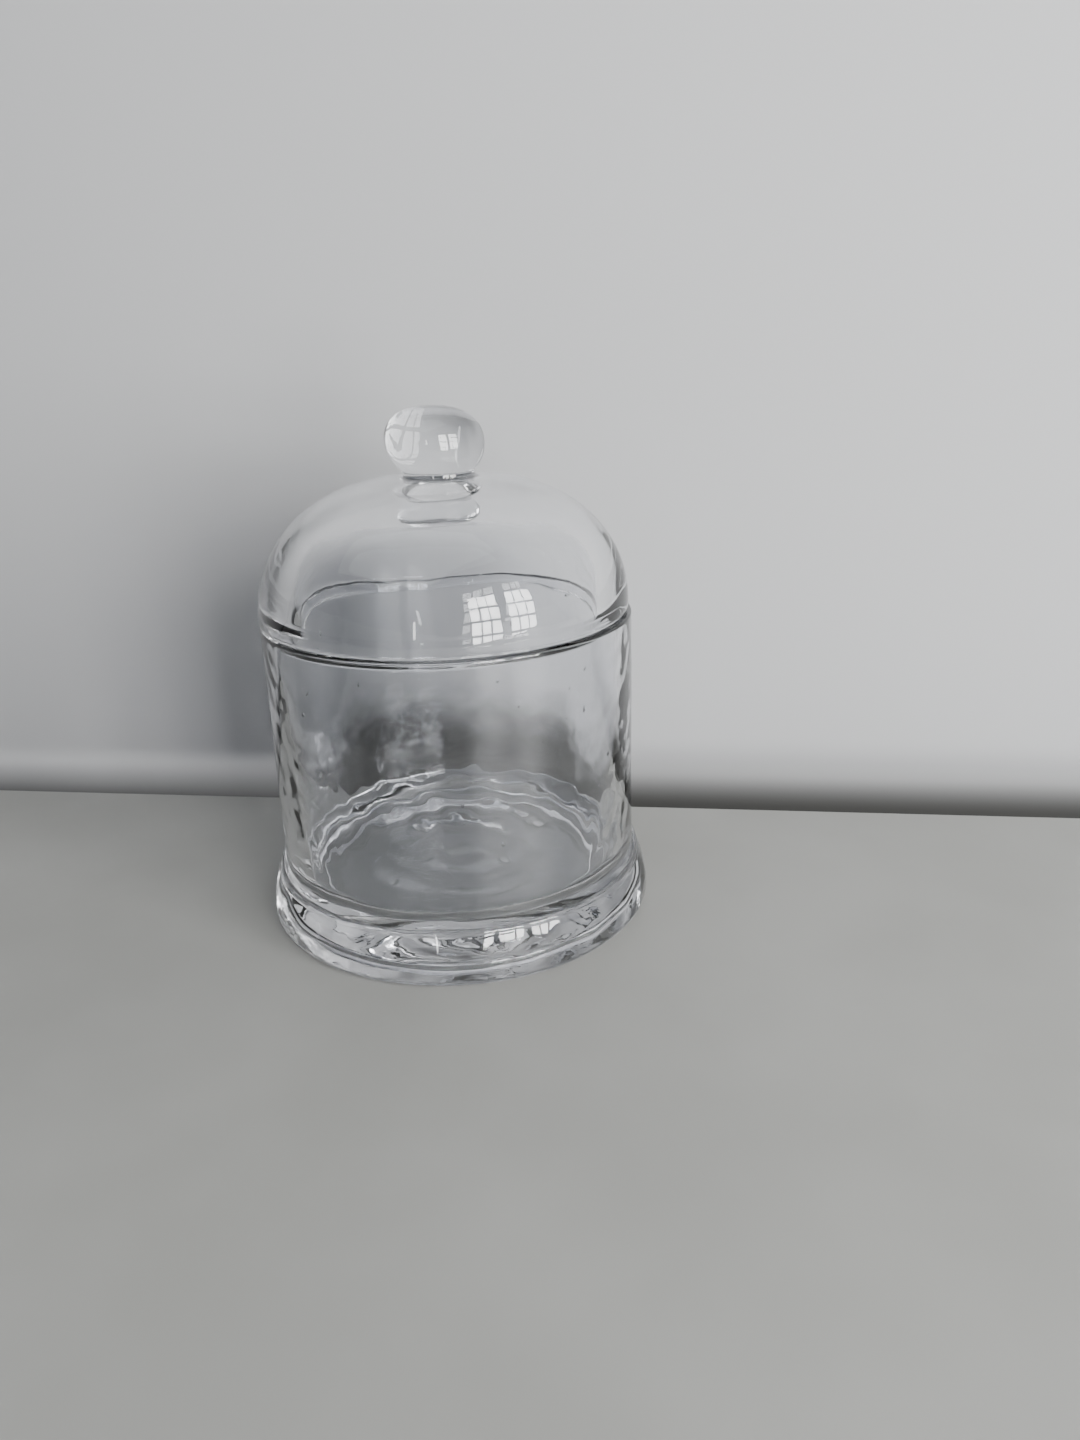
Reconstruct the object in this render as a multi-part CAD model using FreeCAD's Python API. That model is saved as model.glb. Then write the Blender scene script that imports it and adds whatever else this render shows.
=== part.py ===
import FreeCAD, Part
import math
import os

# Empty candle jar of clear glass: a straight-walled bowl with a foot ring of glass fused
# round its bottom, and a lift-off dome lid with a ball knob. Millimetres, +Z up, origin
# at the centre of the surface it stands on. Every piece is turned about the Z axis.

# Bowl
body_radius = 45.0
rim_height = 76.0
rim_wall = 2.7
rim_round = 0.6
floor_height = 12.0
floor_crown = 0.8
floor_wall = 4.6
floor_corner = 6.0
base_corner = 9.0
base_lift = 1.0
punt_rise = 0.6

# Foot ring
foot_flare = 3.7
foot_round = 2.2
foot_bulge = 0.7
collar_height = 13.5
collar_bead = 0.9

# Dome
dome_inset = 0.4
dome_height = 32.1
dome_edge = 1.5
crown_flat = 11.0
crown_wall = 7.4
bore_start = 2.0
flange_depth = 3.0
flange_wall = 5.1
flange_clearance = 0.8
flange_round = 1.0

# Knob
knob_radius = 11.6
knob_rise = 8.3
knob_upper = 7.9
knob_lower = 8.9
neck_radius = 8.4
neck_flare = 0.8

# How the round profiles rise and spread: 2 is an ellipse, more is squarer.
dome_rise = 2.1
dome_spread = 2.0
bore_rise = 2.4
bore_spread = 3.0
knob_power = 2.3
curve_steps = 20
cap_steps = 4

mouth_radius = body_radius - rim_wall
base_radius = body_radius - base_corner
foot_radius = body_radius + foot_flare
dome_radius = body_radius - dome_inset
flange_radius = mouth_radius - flange_clearance
dome_bore = flange_radius - flange_wall
crown_height = rim_height + dome_height


def point(radius, height):
    """A point of a profile, on the plane through the axis."""
    return FreeCAD.Vector(radius, 0, height)


def line(start, end):
    """A straight run of a profile."""
    return Part.makeLine(start, end)


def quarter(centre, radius, start_turn, end_turn):
    """An arc about a centre, between two directions in degrees from outward."""
    def on_circle(turn):
        toward = FreeCAD.Rotation(FreeCAD.Vector(0, -1, 0), turn)
        return centre + toward.multVec(FreeCAD.Vector(radius, 0, 0))

    middle_turn = (start_turn + end_turn) / 2
    return Part.Arc(on_circle(start_turn), on_circle(middle_turn), on_circle(end_turn)).toShape()


def curve(points):
    """A smooth run through the points of a formula."""
    spline = Part.BSplineCurve()
    spline.interpolate(points)
    return spline.toShape()


def cap(radius, low, high):
    """A shallow bowed run, from its edge up to its top on the axis."""
    shares = [1 - step / cap_steps for step in range(cap_steps + 1)]
    return curve([point(radius * share, high - (high - low) * share ** 2) for share in shares])


def swell(wide, narrow, rise, spread, last_turn=math.pi / 2):
    """Points of a rounded profile, from its widest circle towards a narrower one."""
    points = []
    for step in range(curve_steps + 1):
        turn = last_turn * step / curve_steps
        radius = narrow.x + (wide.x - narrow.x) * math.cos(turn) ** (2 / spread)
        points.append(point(radius, wide.z + (narrow.z - wide.z) * math.sin(turn) ** (2 / rise)))
    return points


def turned(name, edges):
    """Turns a closed half profile about the axis and writes it as one node."""
    profile = Part.Face(Part.Wire(Part.__sortEdges__(edges)))
    solid = profile.revolve(FreeCAD.Vector(), FreeCAD.Vector(0, 0, 1), 360)
    solid.exportStep("parts/" + name + ".step")
    print(name, solid.ShapeType, "valid", solid.isValid(), "volume", round(solid.Volume))


def jar_bowl():
    """Blown bowl: a wall that thickens downwards, and a thick base with a rounded edge."""
    floor_edge = point(body_radius - floor_wall - floor_corner, floor_height + floor_corner)
    floor_top = point(0, floor_height + floor_crown)
    base_top = point(0, base_lift + punt_rise)
    base_edge = point(base_radius, base_lift + base_corner)
    outer_rim = point(body_radius - rim_round, rim_height - rim_round)
    inner_rim = point(mouth_radius + rim_round, rim_height - rim_round)
    wall_foot = point(body_radius - floor_wall, floor_edge.z)
    turned("jar_bowl", [
        cap(base_radius, base_lift, base_top.z),
        quarter(base_edge, base_corner, -90, 0),
        line(point(body_radius, base_edge.z), point(body_radius, outer_rim.z)),
        quarter(outer_rim, rim_round, 0, 90),
        line(point(outer_rim.x, rim_height), point(inner_rim.x, rim_height)),
        quarter(inner_rim, rim_round, 90, 180),
        line(point(mouth_radius, inner_rim.z), wall_foot),
        quarter(floor_edge, floor_corner, 0, -90),
        cap(floor_edge.x, floor_height, floor_top.z),
        line(floor_top, base_top),
    ])


def jar_foot():
    """Foot ring: fused round the bowl's bottom edge, with a bead where it ends on the wall."""
    base_edge = point(base_radius, base_lift + base_corner)
    bead = point(body_radius + collar_bead, collar_height - collar_bead)
    bead_side = point(bead.x + collar_bead, bead.z)
    belly = point(foot_radius, foot_round)
    bulge = (bead_side + belly) * 0.5 + point(foot_bulge, foot_bulge / 2)
    stand = point(foot_radius - foot_round, 0)
    turned("jar_foot", [
        quarter(base_edge, base_corner, -90, 0),
        line(point(body_radius, base_edge.z), point(body_radius, bead.z)),
        quarter(bead, collar_bead, 180, 0),
        Part.Arc(bead_side, bulge, belly).toShape(),
        quarter(point(stand.x, foot_round), foot_round, 0, -90),
        line(stand, point(base_radius, 0)),
        line(point(base_radius, 0), point(base_radius, base_lift)),
    ])


def lid_dome():
    """Thick dome lid: it seats on the rim, and a flange drops into the mouth."""
    flange_low = rim_height - flange_depth
    outer_toe = point(flange_radius - flange_round, flange_low + flange_round)
    inner_toe = point(dome_bore + flange_round, flange_low + flange_round)
    edge = point(dome_radius - dome_edge, rim_height + dome_edge)
    shoulder = point(dome_radius, edge.z)
    crown_rim = point(crown_flat, crown_height)
    bore_low = point(dome_bore, rim_height + bore_start)
    ceiling = point(0, crown_height - crown_wall)
    turned("lid_dome", [
        line(point(0, crown_height), crown_rim),
        curve(swell(shoulder, crown_rim, dome_rise, dome_spread)),
        quarter(edge, dome_edge, 0, -90),
        line(point(edge.x, rim_height), point(flange_radius, rim_height)),
        line(point(flange_radius, rim_height), point(flange_radius, outer_toe.z)),
        quarter(outer_toe, flange_round, 0, -90),
        line(point(outer_toe.x, flange_low), point(inner_toe.x, flange_low)),
        quarter(inner_toe, flange_round, -90, -180),
        line(point(dome_bore, inner_toe.z), bore_low),
        curve(swell(bore_low, ceiling, bore_rise, bore_spread)),
        line(ceiling, point(0, crown_height)),
    ])


def lid_knob():
    """Solid ball knob, on a short neck that flares onto the dome's crown."""
    middle = crown_height + knob_rise
    belt = point(knob_radius, middle)
    neck_turn = math.acos((neck_radius / knob_radius) ** (knob_power / 2))
    lower = swell(belt, point(0, middle - knob_lower), knob_power, knob_power, neck_turn)
    upper = swell(belt, point(0, middle + knob_upper), knob_power, knob_power)
    flare = point(neck_radius + neck_flare, crown_height + neck_flare)
    turned("lid_knob", [
        line(point(0, crown_height), point(flare.x, crown_height)),
        quarter(flare, neck_flare, -90, -180),
        line(point(neck_radius, flare.z), lower[-1]),
        curve(lower[::-1] + upper[1:]),
        line(upper[-1], point(0, crown_height)),
    ])


os.makedirs("parts", exist_ok=True)
jar_bowl()
jar_foot()
lid_dome()
lid_knob()
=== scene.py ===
import math
import random

import bmesh
import bpy
from mathutils import Euler, Matrix, Vector, noise


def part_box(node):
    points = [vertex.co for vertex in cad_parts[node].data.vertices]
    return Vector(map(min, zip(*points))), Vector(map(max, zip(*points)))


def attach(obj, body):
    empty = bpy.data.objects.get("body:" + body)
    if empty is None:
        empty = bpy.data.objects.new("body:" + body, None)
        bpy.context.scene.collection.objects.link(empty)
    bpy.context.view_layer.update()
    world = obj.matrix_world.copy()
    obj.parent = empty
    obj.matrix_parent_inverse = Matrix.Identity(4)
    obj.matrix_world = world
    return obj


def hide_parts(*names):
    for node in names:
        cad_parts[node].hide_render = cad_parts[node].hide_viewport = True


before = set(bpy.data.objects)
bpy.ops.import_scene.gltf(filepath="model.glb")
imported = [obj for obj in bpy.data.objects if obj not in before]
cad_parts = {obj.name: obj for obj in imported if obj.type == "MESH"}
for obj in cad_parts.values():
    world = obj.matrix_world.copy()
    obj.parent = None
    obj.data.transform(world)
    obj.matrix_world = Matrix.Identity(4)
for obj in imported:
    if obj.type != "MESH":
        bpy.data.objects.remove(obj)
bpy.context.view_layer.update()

# ---- Bowl
# The bowl is one gather of clear glass, blown and rolled: a straight wall that thickens
# downwards, a fire-polished rim, and a thick base with a swirl where the rod was cracked
# off. Its inside keeps soft waves and a few seeds, the maker's word for trapped bubbles.
MM = 0.001
AROUND = 256

bowl_low, bowl_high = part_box("jar_bowl")
foot_low, foot_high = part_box("jar_foot")
body_radius = bowl_high.x
rim_height = bowl_high.z
base_lift = bowl_low.z
collar_height = foot_high.z
rim_wall = 2.7 * MM
rim_round = 0.6 * MM
floor_height = 12.0 * MM
floor_crown = 0.8 * MM
floor_wall = 4.6 * MM
floor_corner = 6.0 * MM
base_corner = 9.0 * MM
punt_rise = 0.6 * MM
collar_bead = 0.9 * MM
merge_gap = 0.004 * MM
seed_stretch = 1.7
mouth_radius = body_radius - rim_wall
floor_radius = body_radius - floor_wall
base_radius = body_radius - base_corner
weld_top = collar_height - collar_bead


def bend(centre, radius, start, end, steps=10):
    """The points of an arc in a profile; directions are in degrees from outward."""
    turns = [math.radians(start + (end - start) * step / steps) for step in range(steps + 1)]
    return [(centre[0] + radius * math.cos(turn), centre[1] + radius * math.sin(turn)) for turn in turns]


def run(start, end, steps):
    """The points of a straight stretch of a profile."""
    points = []
    for step in range(steps + 1):
        share = step / steps
        points.append((start[0] + (end[0] - start[0]) * share, start[1] + (end[1] - start[1]) * share))
    return points


def cap(radius, low, high, steps=24):
    """The points of a shallow bowed stretch, from its edge up to its top on the axis."""
    shares = [1 - step / steps for step in range(steps + 1)]
    return [(radius * share, high - (high - low) * share ** 2) for share in shares]


def smooth_step(start, end, value):
    """0 before start, 1 after end, and a soft rise between them."""
    share = min(max((value - start) / (end - start), 0), 1)
    return share * share * (3 - 2 * share)


def ripple(spot, size, depth, seed=0.0):
    """How deep soft waves of one size are at a spot of the surface."""
    return depth * noise.noise(spot / size + Vector((seed, -seed, seed)))


def gather(name, profile, fused, wave, lean=None, seeds=()):
    """One closed piece of glass, spun from its half profile. Where fused(radius, height) holds
    it is welded to its neighbour; elsewhere wave(spot) moves the hot surface out or in, and
    lean(spot) carries the whole piece off its axis."""
    bm = bmesh.new()
    corners = [bm.verts.new((radius, 0, height)) for radius, height in profile]
    edges = [bm.edges.new(pair) for pair in zip(corners, corners[1:])]
    bmesh.ops.spin(bm, geom=corners + edges, cent=(0, 0, 0), axis=(0, 0, 1),
                   angle=math.tau, steps=AROUND, use_merge=True)
    bmesh.ops.remove_doubles(bm, verts=bm.verts, dist=merge_gap)
    bmesh.ops.recalc_face_normals(bm, faces=bm.faces)
    bm.normal_update()
    held = set()
    for face in bm.faces:
        middle = face.calc_center_median()
        if fused(math.hypot(middle.x, middle.y), middle.z):
            face.material_index = 1
            held.update(face.verts)
    pushes = [(vert, vert.normal * wave(vert.co)) for vert in bm.verts if vert not in held]
    for vert, push in pushes:
        vert.co += push
    for place, size in seeds:
        stretch = Matrix.Diagonal((1, 1, seed_stretch, 1))
        bubble = bmesh.ops.create_icosphere(bm, subdivisions=3, radius=size,
                                            matrix=Matrix.Translation(place) @ stretch)
        walls = {face for vert in bubble["verts"] for face in vert.link_faces}
        bmesh.ops.reverse_faces(bm, faces=list(walls))
    for face in bm.faces:
        face.smooth = True
    if lean:
        for vert in bm.verts:
            vert.co += lean(vert.co)
    mesh = bpy.data.meshes.new(name)
    bm.to_mesh(mesh)
    bm.free()
    piece = bpy.data.objects.new(name, mesh)
    bpy.context.scene.collection.objects.link(piece)
    return piece


class Wire:
    """One socket of a material's nodes; sums on it become Math nodes."""

    def __init__(self, tree, socket):
        self.tree = tree
        self.socket = socket

    def node(self, kind, settings, inputs, output=0):
        """A new node: its settings first, then the values or wires of its sockets."""
        made = self.tree.nodes.new(kind)
        for name, value in settings.items():
            setattr(made, name, value)
        for name, value in inputs.items():
            if isinstance(value, Wire):
                self.tree.links.new(value.socket, made.inputs[name])
            else:
                made.inputs[name].default_value = value
        return Wire(self.tree, made.outputs[output])

    def maths(self, operation, first, second):
        return self.node("ShaderNodeMath", {"operation": operation}, {0: first, 1: second})

    def __add__(self, other):
        return self.maths("ADD", self, other)

    def __radd__(self, other):
        return self.maths("ADD", other, self)

    def __sub__(self, other):
        return self.maths("SUBTRACT", self, other)

    def __rsub__(self, other):
        return self.maths("SUBTRACT", other, self)

    def __mul__(self, other):
        return self.maths("MULTIPLY", self, other)

    def __rmul__(self, other):
        return self.maths("MULTIPLY", other, self)

    def between(self, low, high):
        """0 where this wire is under low, 1 where it is over high, soft between them."""
        return self.node("ShaderNodeMapRange", {"interpolation_type": "SMOOTHSTEP"},
                         {"Value": self, "From Min": low, "From Max": high})

    def noise(self, size, detail=2.0):
        """Cloudy noise on this wire's coordinates, with patches of a size in metres."""
        return self.node("ShaderNodeTexNoise", {}, {"Vector": self, "Scale": 1 / size, "Detail": detail})

    def blend(self, first, second):
        """The first colour where this wire is 0, the second where it is 1."""
        return self.node("ShaderNodeMix", {"data_type": "RGBA"}, {0: self, 6: first, 7: second}, 2)

    def into(self, shader, name):
        """Joins this wire to a socket of a shader."""
        self.tree.links.new(self.socket, shader.inputs[name])


def clear_glass(name, tint, thread_tint, threads_depth, smear):
    """Fire-polished clear glass: faint drawn-out threads that bend the light a little and
    hold a trace more colour, and thin smears where it was handled."""
    material = bpy.data.materials.new(name)
    material.use_nodes = True
    tree = material.node_tree
    shader = tree.nodes["Principled BSDF"]
    shader.inputs["IOR"].default_value = 1.5
    shader.inputs["Transmission Weight"].default_value = 1.0
    place = Wire(tree, tree.nodes.new("ShaderNodeTexCoord").outputs["Object"])
    drawn_out = (1.0, 1.0, 0.18)
    drawn = place.node("ShaderNodeVectorMath", {"operation": "MULTIPLY"}, {0: place, 1: drawn_out})
    threads = drawn.noise(5 * MM, 3.0)
    smears = place.noise(18 * MM, 5.0).between(0.52, 0.78)
    specks = place.noise(1.2 * MM, 1.0).between(0.70, 0.76)
    threads.between(0.45, 0.70).blend((*tint, 1), (*thread_tint, 1)).into(shader, "Base Color")
    (smears * smear + specks * smear).into(shader, "Roughness")
    skin = threads + place.noise(2.5 * MM, 2.0) * 0.15
    relief = {"Strength": threads_depth, "Distance": 0.12 * MM, "Height": skin}
    skin.node("ShaderNodeBump", {}, relief).into(shader, "Normal")
    return material


def weld():
    """The hidden face where two gathers became one glass; light crosses it unbent."""
    material = bpy.data.materials.new("weld")
    material.use_nodes = True
    shader = material.node_tree.nodes["Principled BSDF"]
    shader.inputs["Alpha"].default_value = 0.0
    shader.inputs["Specular IOR Level"].default_value = 0.0
    return material


jar_glass = clear_glass("jar_glass", (0.958, 0.965, 0.985), (0.935, 0.945, 0.975), 0.20, 0.016)
welded = weld()

floor_edge = (floor_radius - floor_corner, floor_height + floor_corner)
base_edge = (base_radius, base_lift + base_corner)
inner_rim = (mouth_radius + rim_round, rim_height - rim_round)
outer_rim = (body_radius - rim_round, rim_height - rim_round)
bowl_profile = cap(base_radius, base_lift, base_lift + punt_rise)[::-1]
bowl_profile += bend(base_edge, base_corner, -90, 0, 16)[1:]
bowl_profile += run((body_radius, base_edge[1]), (body_radius, weld_top), 3)[1:]
bowl_profile += run((body_radius, weld_top), (body_radius, outer_rim[1]), 64)[1:]
bowl_profile += bend(outer_rim, rim_round, 0, 90)[1:]
bowl_profile += bend(inner_rim, rim_round, 90, 180)
bowl_profile += run((mouth_radius, inner_rim[1]), (floor_radius, floor_edge[1]), 64)[1:]
bowl_profile += bend(floor_edge, floor_corner, 0, -90, 14)[1:]
bowl_profile += cap(floor_edge[0], floor_height, floor_height + floor_crown, 40)[1:]


under_floor = 11.0 * MM
base_skin = 2.0 * MM
wave_fade = 4.0 * MM
rim_calm = 6.0 * MM
wave_drawn = 0.45
swirl_pitch = 11.0 * MM
swirl_depth = 0.26 * MM
swirl_starts, swirl_full = 2.0 * MM, 9.0 * MM
swirl_fades, swirl_ends = 24.0 * MM, 33.0 * MM


def bowl_fused(radius, height):
    """The rounded edge of the base, up to where the foot ring's bead ends."""
    return base_radius < radius and height < weld_top and (height < under_floor or radius > floor_radius)


def bowl_wave(spot):
    """Rolled true outside; inside, waves that deepen downwards and a swirl in the floor."""
    radius = math.hypot(spot.x, spot.y)
    if spot.z < base_lift + base_skin:
        return ripple(spot, 9 * MM, 0.12 * MM)
    if radius > body_radius - rim_wall / 2:
        fade = smooth_step(weld_top, weld_top + wave_fade, spot.z)
        return fade * (ripple(spot, 22 * MM, 0.10 * MM) + ripple(spot, 5 * MM, 0.035 * MM))
    low = 1 - smooth_step(floor_height, rim_height - rim_calm, spot.z)
    drawn = Vector((spot.x, spot.y, spot.z * wave_drawn))
    broad = ripple(drawn, 13 * MM, (0.16 + 0.16 * low) * MM)
    dimples = ripple(spot, 3.6 * MM, (0.05 + 0.05 * low) * MM)
    in_floor = 1 - smooth_step(swirl_fades, swirl_ends, radius)
    swirl_turn = math.tau * radius / swirl_pitch - math.atan2(spot.y, spot.x)
    off_middle = smooth_step(swirl_starts, swirl_full, radius)
    swirl = in_floor * swirl_depth * math.sin(swirl_turn) * off_middle
    return broad + dimples + swirl


seed_count = 26
seed_draw = 11
picks = random.Random(seed_draw)
bowl_seeds = []
for _ in range(seed_count):
    turn = picks.uniform(0, math.tau)
    up = picks.uniform(0.2, 0.92)
    height = floor_height + (rim_height - floor_height) * up
    depth = body_radius - picks.uniform(1.1, 1.7) * MM
    seed_place = Vector((depth * math.cos(turn), depth * math.sin(turn), height))
    bowl_seeds.append((seed_place, picks.uniform(0.20, 0.55) * MM))

bowl = gather("bowl", bowl_profile, bowl_fused, bowl_wave, seeds=bowl_seeds)
bowl.data.materials.append(jar_glass)
bowl.data.materials.append(welded)
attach(bowl, "jar")
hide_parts("jar_bowl")

# ---- Foot ring
# The foot is a second gather, wound hot round the bowl's rounded bottom edge, flared out
# with a paddle and flattened underneath. It ends on the wall in a small round bead.
foot_flare = 3.7 * MM
foot_radius = body_radius + foot_flare
foot_round = 2.2 * MM
foot_bulge = 0.7 * MM
stand_calm, side_wave = 0.3 * MM, 2.5 * MM
bead = (body_radius + collar_bead, weld_top)
bead_side = (bead[0] + collar_bead, bead[1])
belly = (foot_radius, foot_round)
stand = (foot_radius - foot_round, 0)


def flared(start, end, bulge, steps):
    """The points of a bowed stretch that stands out by a bulge half way."""
    points = []
    for radius, height in run(start, end, steps):
        share = len(points) / steps
        points.append((radius + 4 * share * (1 - share) * bulge, height))
    return points


foot_profile = run((base_radius, 0), (base_radius, base_lift), 2)
foot_profile += bend(base_edge, base_corner, -90, 0, 16)[1:]
foot_profile += run((body_radius, base_edge[1]), (body_radius, weld_top), 3)[1:]
foot_profile += bend(bead, collar_bead, 180, 0, 16)[1:]
foot_profile += flared(bead_side, belly, foot_bulge, 24)[1:]
foot_profile += bend((stand[0], foot_round), foot_round, 0, -90, 12)[1:]
foot_profile += run(stand, (base_radius, 0), 10)[1:]


def foot_fused(radius, height):
    """The face that hugs the bowl's bottom edge."""
    return radius < body_radius and height > base_lift


def foot_wave(spot):
    """The paddle's uneven marks round the side, and none on the ring that it stands on."""
    fade = smooth_step(stand_calm, side_wave, spot.z)
    paddle = ripple(spot, 13 * MM, 0.42 * MM, 3.0) + ripple(spot, 4.5 * MM, 0.07 * MM, 3.0)
    return fade * paddle


foot = gather("foot", foot_profile, foot_fused, foot_wave)
foot.data.materials.append(jar_glass)
foot.data.materials.append(welded)
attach(foot, "jar")
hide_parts("jar_foot")

# ---- Dome
# The lid is a thick blown dome. Its edge rests on the bowl's rim, and a flange drops into
# the mouth with a little play, so the lid never sits quite in the middle.
dome_low, dome_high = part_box("lid_dome")
crown_height = dome_high.z
dome_inset = 0.4 * MM
dome_radius = body_radius - dome_inset
dome_edge = 1.5 * MM
crown_flat = 11.0 * MM
crown_wall = 7.4 * MM
bore_start = 2.0 * MM
flange_low = dome_low.z
flange_clearance = 0.8 * MM
flange_radius = mouth_radius - flange_clearance
flange_wall = 5.1 * MM
flange_round = 1.0 * MM
dome_bore = flange_radius - flange_wall
dome_rise, dome_spread = 2.1, 2.0
bore_rise, bore_spread = 2.4, 3.0
neck_radius = 8.4 * MM
neck_flare = 0.8 * MM
knob_root = neck_radius + neck_flare
lid_play = 0.4 * MM
seat_gap = 0.18 * MM
fused_skin = 0.01 * MM
seat_skin = 0.2 * MM
outer_share = 0.93


def swell(wide, narrow, rise, spread, steps, last_turn=math.pi / 2):
    """The points of a rounded profile, from its widest circle towards a narrower one.
    For rise and spread, 2 is an ellipse and more is squarer."""
    points = []
    for step in range(steps + 1):
        turn = last_turn * step / steps
        across = max(math.cos(turn), 0) ** (2 / spread)
        along = math.sin(turn) ** (2 / rise)
        radius = narrow[0] + (wide[0] - narrow[0]) * across
        points.append((radius, wide[1] + (narrow[1] - wide[1]) * along))
    return points


edge = (dome_radius - dome_edge, rim_height + dome_edge)
toe_height = flange_low + flange_round
ceiling = (0, crown_height - crown_wall)
bore_low = (dome_bore, rim_height + bore_start)
shoulder = (dome_radius, edge[1])
crown_rim = (crown_flat, crown_height)
dome_profile = run((0, crown_height), (knob_root, crown_height), 6)
dome_profile += run((knob_root, crown_height), crown_rim, 2)[1:]
dome_profile += swell(shoulder, crown_rim, dome_rise, dome_spread, 64)[-2::-1]
dome_profile += bend(edge, dome_edge, 0, -90, 12)[1:]
dome_profile += run((edge[0], rim_height), (flange_radius, rim_height), 2)[1:]
dome_profile += run((flange_radius, rim_height), (flange_radius, toe_height), 3)[1:]
dome_profile += bend((flange_radius - flange_round, toe_height), flange_round, 0, -90)[1:]
dome_profile += bend((dome_bore + flange_round, toe_height), flange_round, -90, -180)
dome_profile += run((dome_bore, toe_height), bore_low, 4)[1:]
dome_profile += swell(bore_low, ceiling, bore_rise, bore_spread, 64)[1:]


def dome_fused(radius, height):
    """The disc of the crown that the knob is stuck to."""
    return radius < knob_root and height > crown_height - fused_skin


def dome_wave(spot):
    """Soft waves outside, and deeper ones inside where the glass is thick."""
    radius = math.hypot(spot.x, spot.y)
    if spot.z < rim_height + seat_skin:
        return ripple(spot, 12 * MM, 0.10 * MM, 7.0)
    if math.hypot(radius / dome_radius, (spot.z - edge[1]) / (crown_height - edge[1])) > outer_share:
        fade = smooth_step(knob_root, knob_root + 6 * MM, radius)
        return fade * (ripple(spot, 24 * MM, 0.16 * MM, 7.0) + ripple(spot, 6 * MM, 0.02 * MM, 7.0))
    return ripple(spot, 17 * MM, 0.32 * MM, 8.0) + ripple(spot, 6 * MM, 0.05 * MM, 8.0)


def dome_lean(spot):
    """The dome's skirt lies to one side of the mouth; its crown stays over the middle."""
    share = (crown_height - spot.z) / (crown_height - rim_height)
    return Vector((-lid_play * share, 0, seat_gap))


lid_glass = clear_glass("lid_glass", (0.966, 0.972, 0.985), (0.945, 0.955, 0.975), 0.16, 0.012)
dome = gather("dome", dome_profile, dome_fused, dome_wave, dome_lean)
dome.data.materials.append(lid_glass)
dome.data.materials.append(welded)
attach(dome, "lid")
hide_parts("lid_dome")

# ---- Knob
# The knob is a solid dab of glass dropped on the hot crown and rounded with a wooden
# block. A short neck is left under it, with a sharp crease all round.
knob_low, knob_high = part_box("lid_knob")
knob_radius = 11.6 * MM
knob_upper = 7.9 * MM
knob_lower = 8.9 * MM
knob_power = 2.3
knob_tilt = 0.085
knob_middle = knob_high.z - knob_upper
neck_turn = math.acos((neck_radius / knob_radius) ** (knob_power / 2))
belt = (knob_radius, knob_middle)
under_ball = swell(belt, (0, knob_middle - knob_lower), knob_power, knob_power, 28, neck_turn)
knob_profile = run((0, crown_height), (knob_root, crown_height), 6)
knob_profile += bend((knob_root, crown_height + neck_flare), neck_flare, -90, -180)[1:]
knob_profile += run(knob_profile[-1], under_ball[-1], 2)[1:]
knob_profile += under_ball[-2::-1]
knob_profile += swell(belt, (0, knob_high.z), knob_power, knob_power, 40)[1:]


def knob_fused(radius, height):
    """The disc that sticks to the crown."""
    return height < crown_height + fused_skin / 2


def knob_wave(spot):
    """The marks of the wooden block."""
    return smooth_step(0, 4 * MM, spot.z - crown_height) * ripple(spot, 9 * MM, 0.14 * MM, 5.0)


def knob_lean(spot):
    """The dab was dropped a little askew, so the ball leans over."""
    return Vector((-knob_tilt * (spot.z - crown_height), 0, seat_gap))


knob = gather("knob", knob_profile, knob_fused, knob_wave, knob_lean)
knob.data.materials.append(lid_glass)
knob.data.materials.append(welded)
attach(knob, "lid")
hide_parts("lid_knob")

# ---- Floor and backdrop
# A plain pale tabletop, and a wall close behind it that can be seen only from the
# front, so that views from behind look through it. Its foot is painted dark as shade where
# it meets the table, and higher up behind the jar as a painted shadow of the jar.
table_turn = Matrix.Rotation(math.radians(-7.9), 4, "Z")
under_foot = 0.05 * MM
table_side, table_front, table_back = 0.9, -0.42, 0.0545
wall_side, wall_below, wall_top = 1.5, -0.4, 1.2
wall_back = 0.082


def sheet(name, low, high, facing):
    """A flat staging sheet between two corners, turned with the table."""
    bm = bmesh.new()
    bmesh.ops.create_grid(bm, x_segments=1, y_segments=1, size=0.5)
    size = Vector((high[0] - low[0], high[1] - low[1], 1))
    bmesh.ops.scale(bm, vec=size, verts=bm.verts)
    bmesh.ops.translate(bm, vec=((high[0] + low[0]) / 2, (high[1] + low[1]) / 2, 0), verts=bm.verts)
    bmesh.ops.transform(bm, matrix=table_turn @ facing, verts=bm.verts)
    mesh = bpy.data.meshes.new(name)
    bm.to_mesh(mesh)
    bm.free()
    staging = bpy.data.objects.new(name, mesh)
    bpy.context.scene.collection.objects.link(staging)
    return staging


def painted(name):
    """A new matt paint: its material, its shader and its Object coordinates."""
    material = bpy.data.materials.new(name)
    material.use_nodes = True
    tree = material.node_tree
    place = Wire(tree, tree.nodes.new("ShaderNodeTexCoord").outputs["Object"])
    return material, tree.nodes["Principled BSDF"], place


table_paint, table_shader, table_place = painted("table_paint")
clouds = table_place.noise(60 * MM, 3.0).between(0.3, 0.7)
clouds.blend((0.22, 0.22, 0.205, 1), (0.245, 0.245, 0.23, 1)).into(table_shader, "Base Color")
table_shader.inputs["Roughness"].default_value = 0.42
lowered = Matrix.Translation((0, 0, -under_foot))
floor = sheet("floor", (-table_side, table_front), (table_side, table_back), lowered)
floor.data.materials.append(table_paint)

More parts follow.
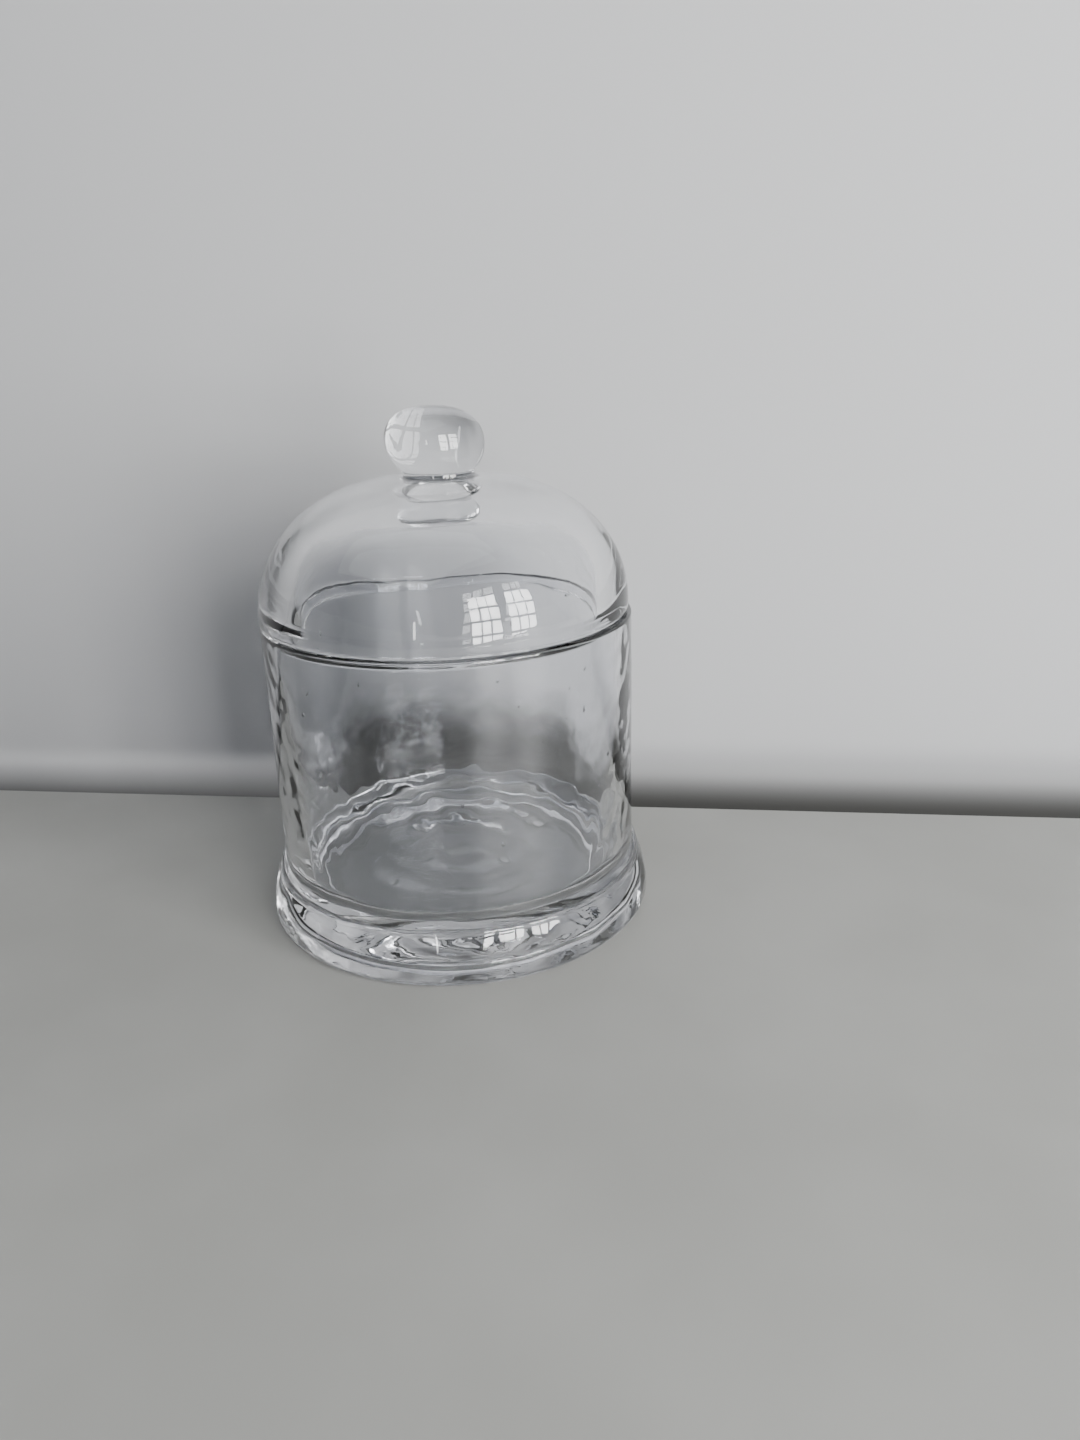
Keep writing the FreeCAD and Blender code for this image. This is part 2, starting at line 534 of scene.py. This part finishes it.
wall_paint, wall_shader, wall_place = painted("wall_paint")
wall_height = wall_place.node("ShaderNodeSeparateXYZ", {}, {"Vector": wall_place}, 2)
wall_across = wall_place.node("ShaderNodeSeparateXYZ", {}, {"Vector": wall_place}, 0)
# Painted shadow of the jar: behind the jar the dark foot of the wall is painted higher, fading out to
# each side.
off_jar = wall_across + 0.006
shade_core, shade_edge = 0.038, 0.058
painted_jar_shadow = 1 - (off_jar * off_jar).between(shade_core ** 2, shade_edge ** 2)
# Painted shade: the wall's colour goes from near black at its foot, where it meets the table, to pale a
# little higher up. At the left the painted dark band sits lower.
left_shade_drop = 1 - wall_across.between(-0.080, -0.020)
painted_lit_above = (wall_height + 0.009 * left_shade_drop - 0.018 * painted_jar_shadow).between(-0.012, 0.014)
painted_lit_above.blend((0.025, 0.025, 0.023, 1), (0.32, 0.322, 0.325, 1)).into(wall_shader, "Base Color")
wall_shader.inputs["Roughness"].default_value = 0.9
wall_out = wall_paint.node_tree.nodes["Material Output"]
behind = wall_place.node("ShaderNodeNewGeometry", {}, {}, "Backfacing")
clear = wall_place.node("ShaderNodeBsdfTransparent", {}, {})
opaque = Wire(wall_paint.node_tree, wall_shader.outputs[0])
one_way = wall_place.node("ShaderNodeMixShader", {}, {0: behind, 1: opaque, 2: clear})
one_way.into(wall_out, "Surface")
upright = Matrix.Translation((0, wall_back, 0)) @ Matrix.Rotation(math.radians(90), 4, "X")
wall = sheet("backdrop", (-wall_side, wall_below), (wall_side, wall_top), upright)
wall.data.materials.append(wall_paint)

# ---- Light
# Softboxes in a grid of panes low in front to the right, a thin upright strip in front, a
# wide soft light overhead, and a dim room that is darker below than above.
aim = Vector((0, 0, 0.08))


def softbox(name, place, target, size, power, colour=(1, 1, 1)):
    """A flat lamp at a place that faces a target."""
    lamp = bpy.data.lights.new(name, "AREA")
    lamp.shape = "RECTANGLE"
    lamp.size, lamp.size_y = size
    lamp.energy = power
    lamp.color = colour
    holder = bpy.data.objects.new(name, lamp)
    bpy.context.scene.collection.objects.link(holder)
    facing = (target - place).to_track_quat("-Z", "Y").to_matrix().to_4x4()
    holder.matrix_world = Matrix.Translation(place) @ facing


casements = 2
panes_across = 3
panes_up = 4
grid_size = (0.60, 0.66)
casement_gap = 0.07
pane_share = 0.82
grid_power = 30.0
grid_away = 0.80
grid_side, grid_rise = math.radians(38), math.radians(7)
grid_place = aim + grid_away * Vector((math.sin(grid_side) * math.cos(grid_rise),
                                       -math.cos(grid_side) * math.cos(grid_rise), math.sin(grid_rise)))
grid_frame = (aim - grid_place).to_track_quat("-Z", "Y").to_matrix()
pitch_across = (grid_size[0] - casement_gap) / (casements * panes_across)
pitch_up = grid_size[1] / panes_up
pane_size = (pitch_across * pane_share, pitch_up * pane_share)
pane_power = grid_power / (casements * panes_across * panes_up)
for column in range(casements * panes_across):
    side = casement_gap / 2 if column >= panes_across else -casement_gap / 2
    across = (column + 0.5) * pitch_across - casements * panes_across * pitch_across / 2 + side
    for row in range(panes_up):
        up = (row + 0.5) * pitch_up - grid_size[1] / 2
        pane_place = grid_place + grid_frame @ Vector((across, up, 0))
        softbox(f"pane_{column}_{row}", pane_place, pane_place + aim - grid_place, pane_size, pane_power)

softbox("strip", Vector((-0.18, -0.76, 0.13)), aim, (0.020, 0.20), 0.3)
softbox("overhead", Vector((-0.25, -0.25, 1.1)), aim, (1.2, 1.2), 4.5, (0.95, 0.97, 1.0))

room = bpy.data.worlds.new("room")
bpy.context.scene.world = room
room.use_nodes = True
room_way = Wire(room.node_tree, room.node_tree.nodes.new("ShaderNodeTexCoord").outputs["Generated"])
room_height = room_way.node("ShaderNodeSeparateXYZ", {}, {"Vector": room_way}, 2)
room_light = room.node_tree.nodes["Background"]
room_low, room_high = (0.035, 0.035, 0.04, 1), (0.34, 0.36, 0.40, 1)
room_height.between(-0.3, 0.8).blend(room_low, room_high).into(room_light, "Color")

# ---- Camera
# Hand-held close to the jar, looking down on it, with a slight roll. Light may cross many
# faces of glass, and is reflected seven times at most, which keeps the joints dark.
lens = bpy.data.cameras.new("camera")
lens.sensor_width = 36
lens.lens = 27.0
lens.clip_start = 0.01
camera = bpy.data.objects.new("camera", lens)
bpy.context.scene.collection.objects.link(camera)
camera_tilt = 19.71
camera_roll = -1.77
camera_place = (0.02187, -0.25857, 0.13941)
look_down = Euler((math.radians(90 - camera_tilt), 0, 0)).to_matrix()
roll = Matrix.Rotation(math.radians(camera_roll), 3, "Z")
camera.matrix_world = Matrix.Translation(camera_place) @ (look_down @ roll).to_4x4()
bpy.context.scene.camera = camera

light_paths = bpy.context.scene.cycles
light_paths.max_bounces = 24
light_paths.transmission_bounces = 24
light_paths.glossy_bounces = 7
light_paths.transparent_max_bounces = 24
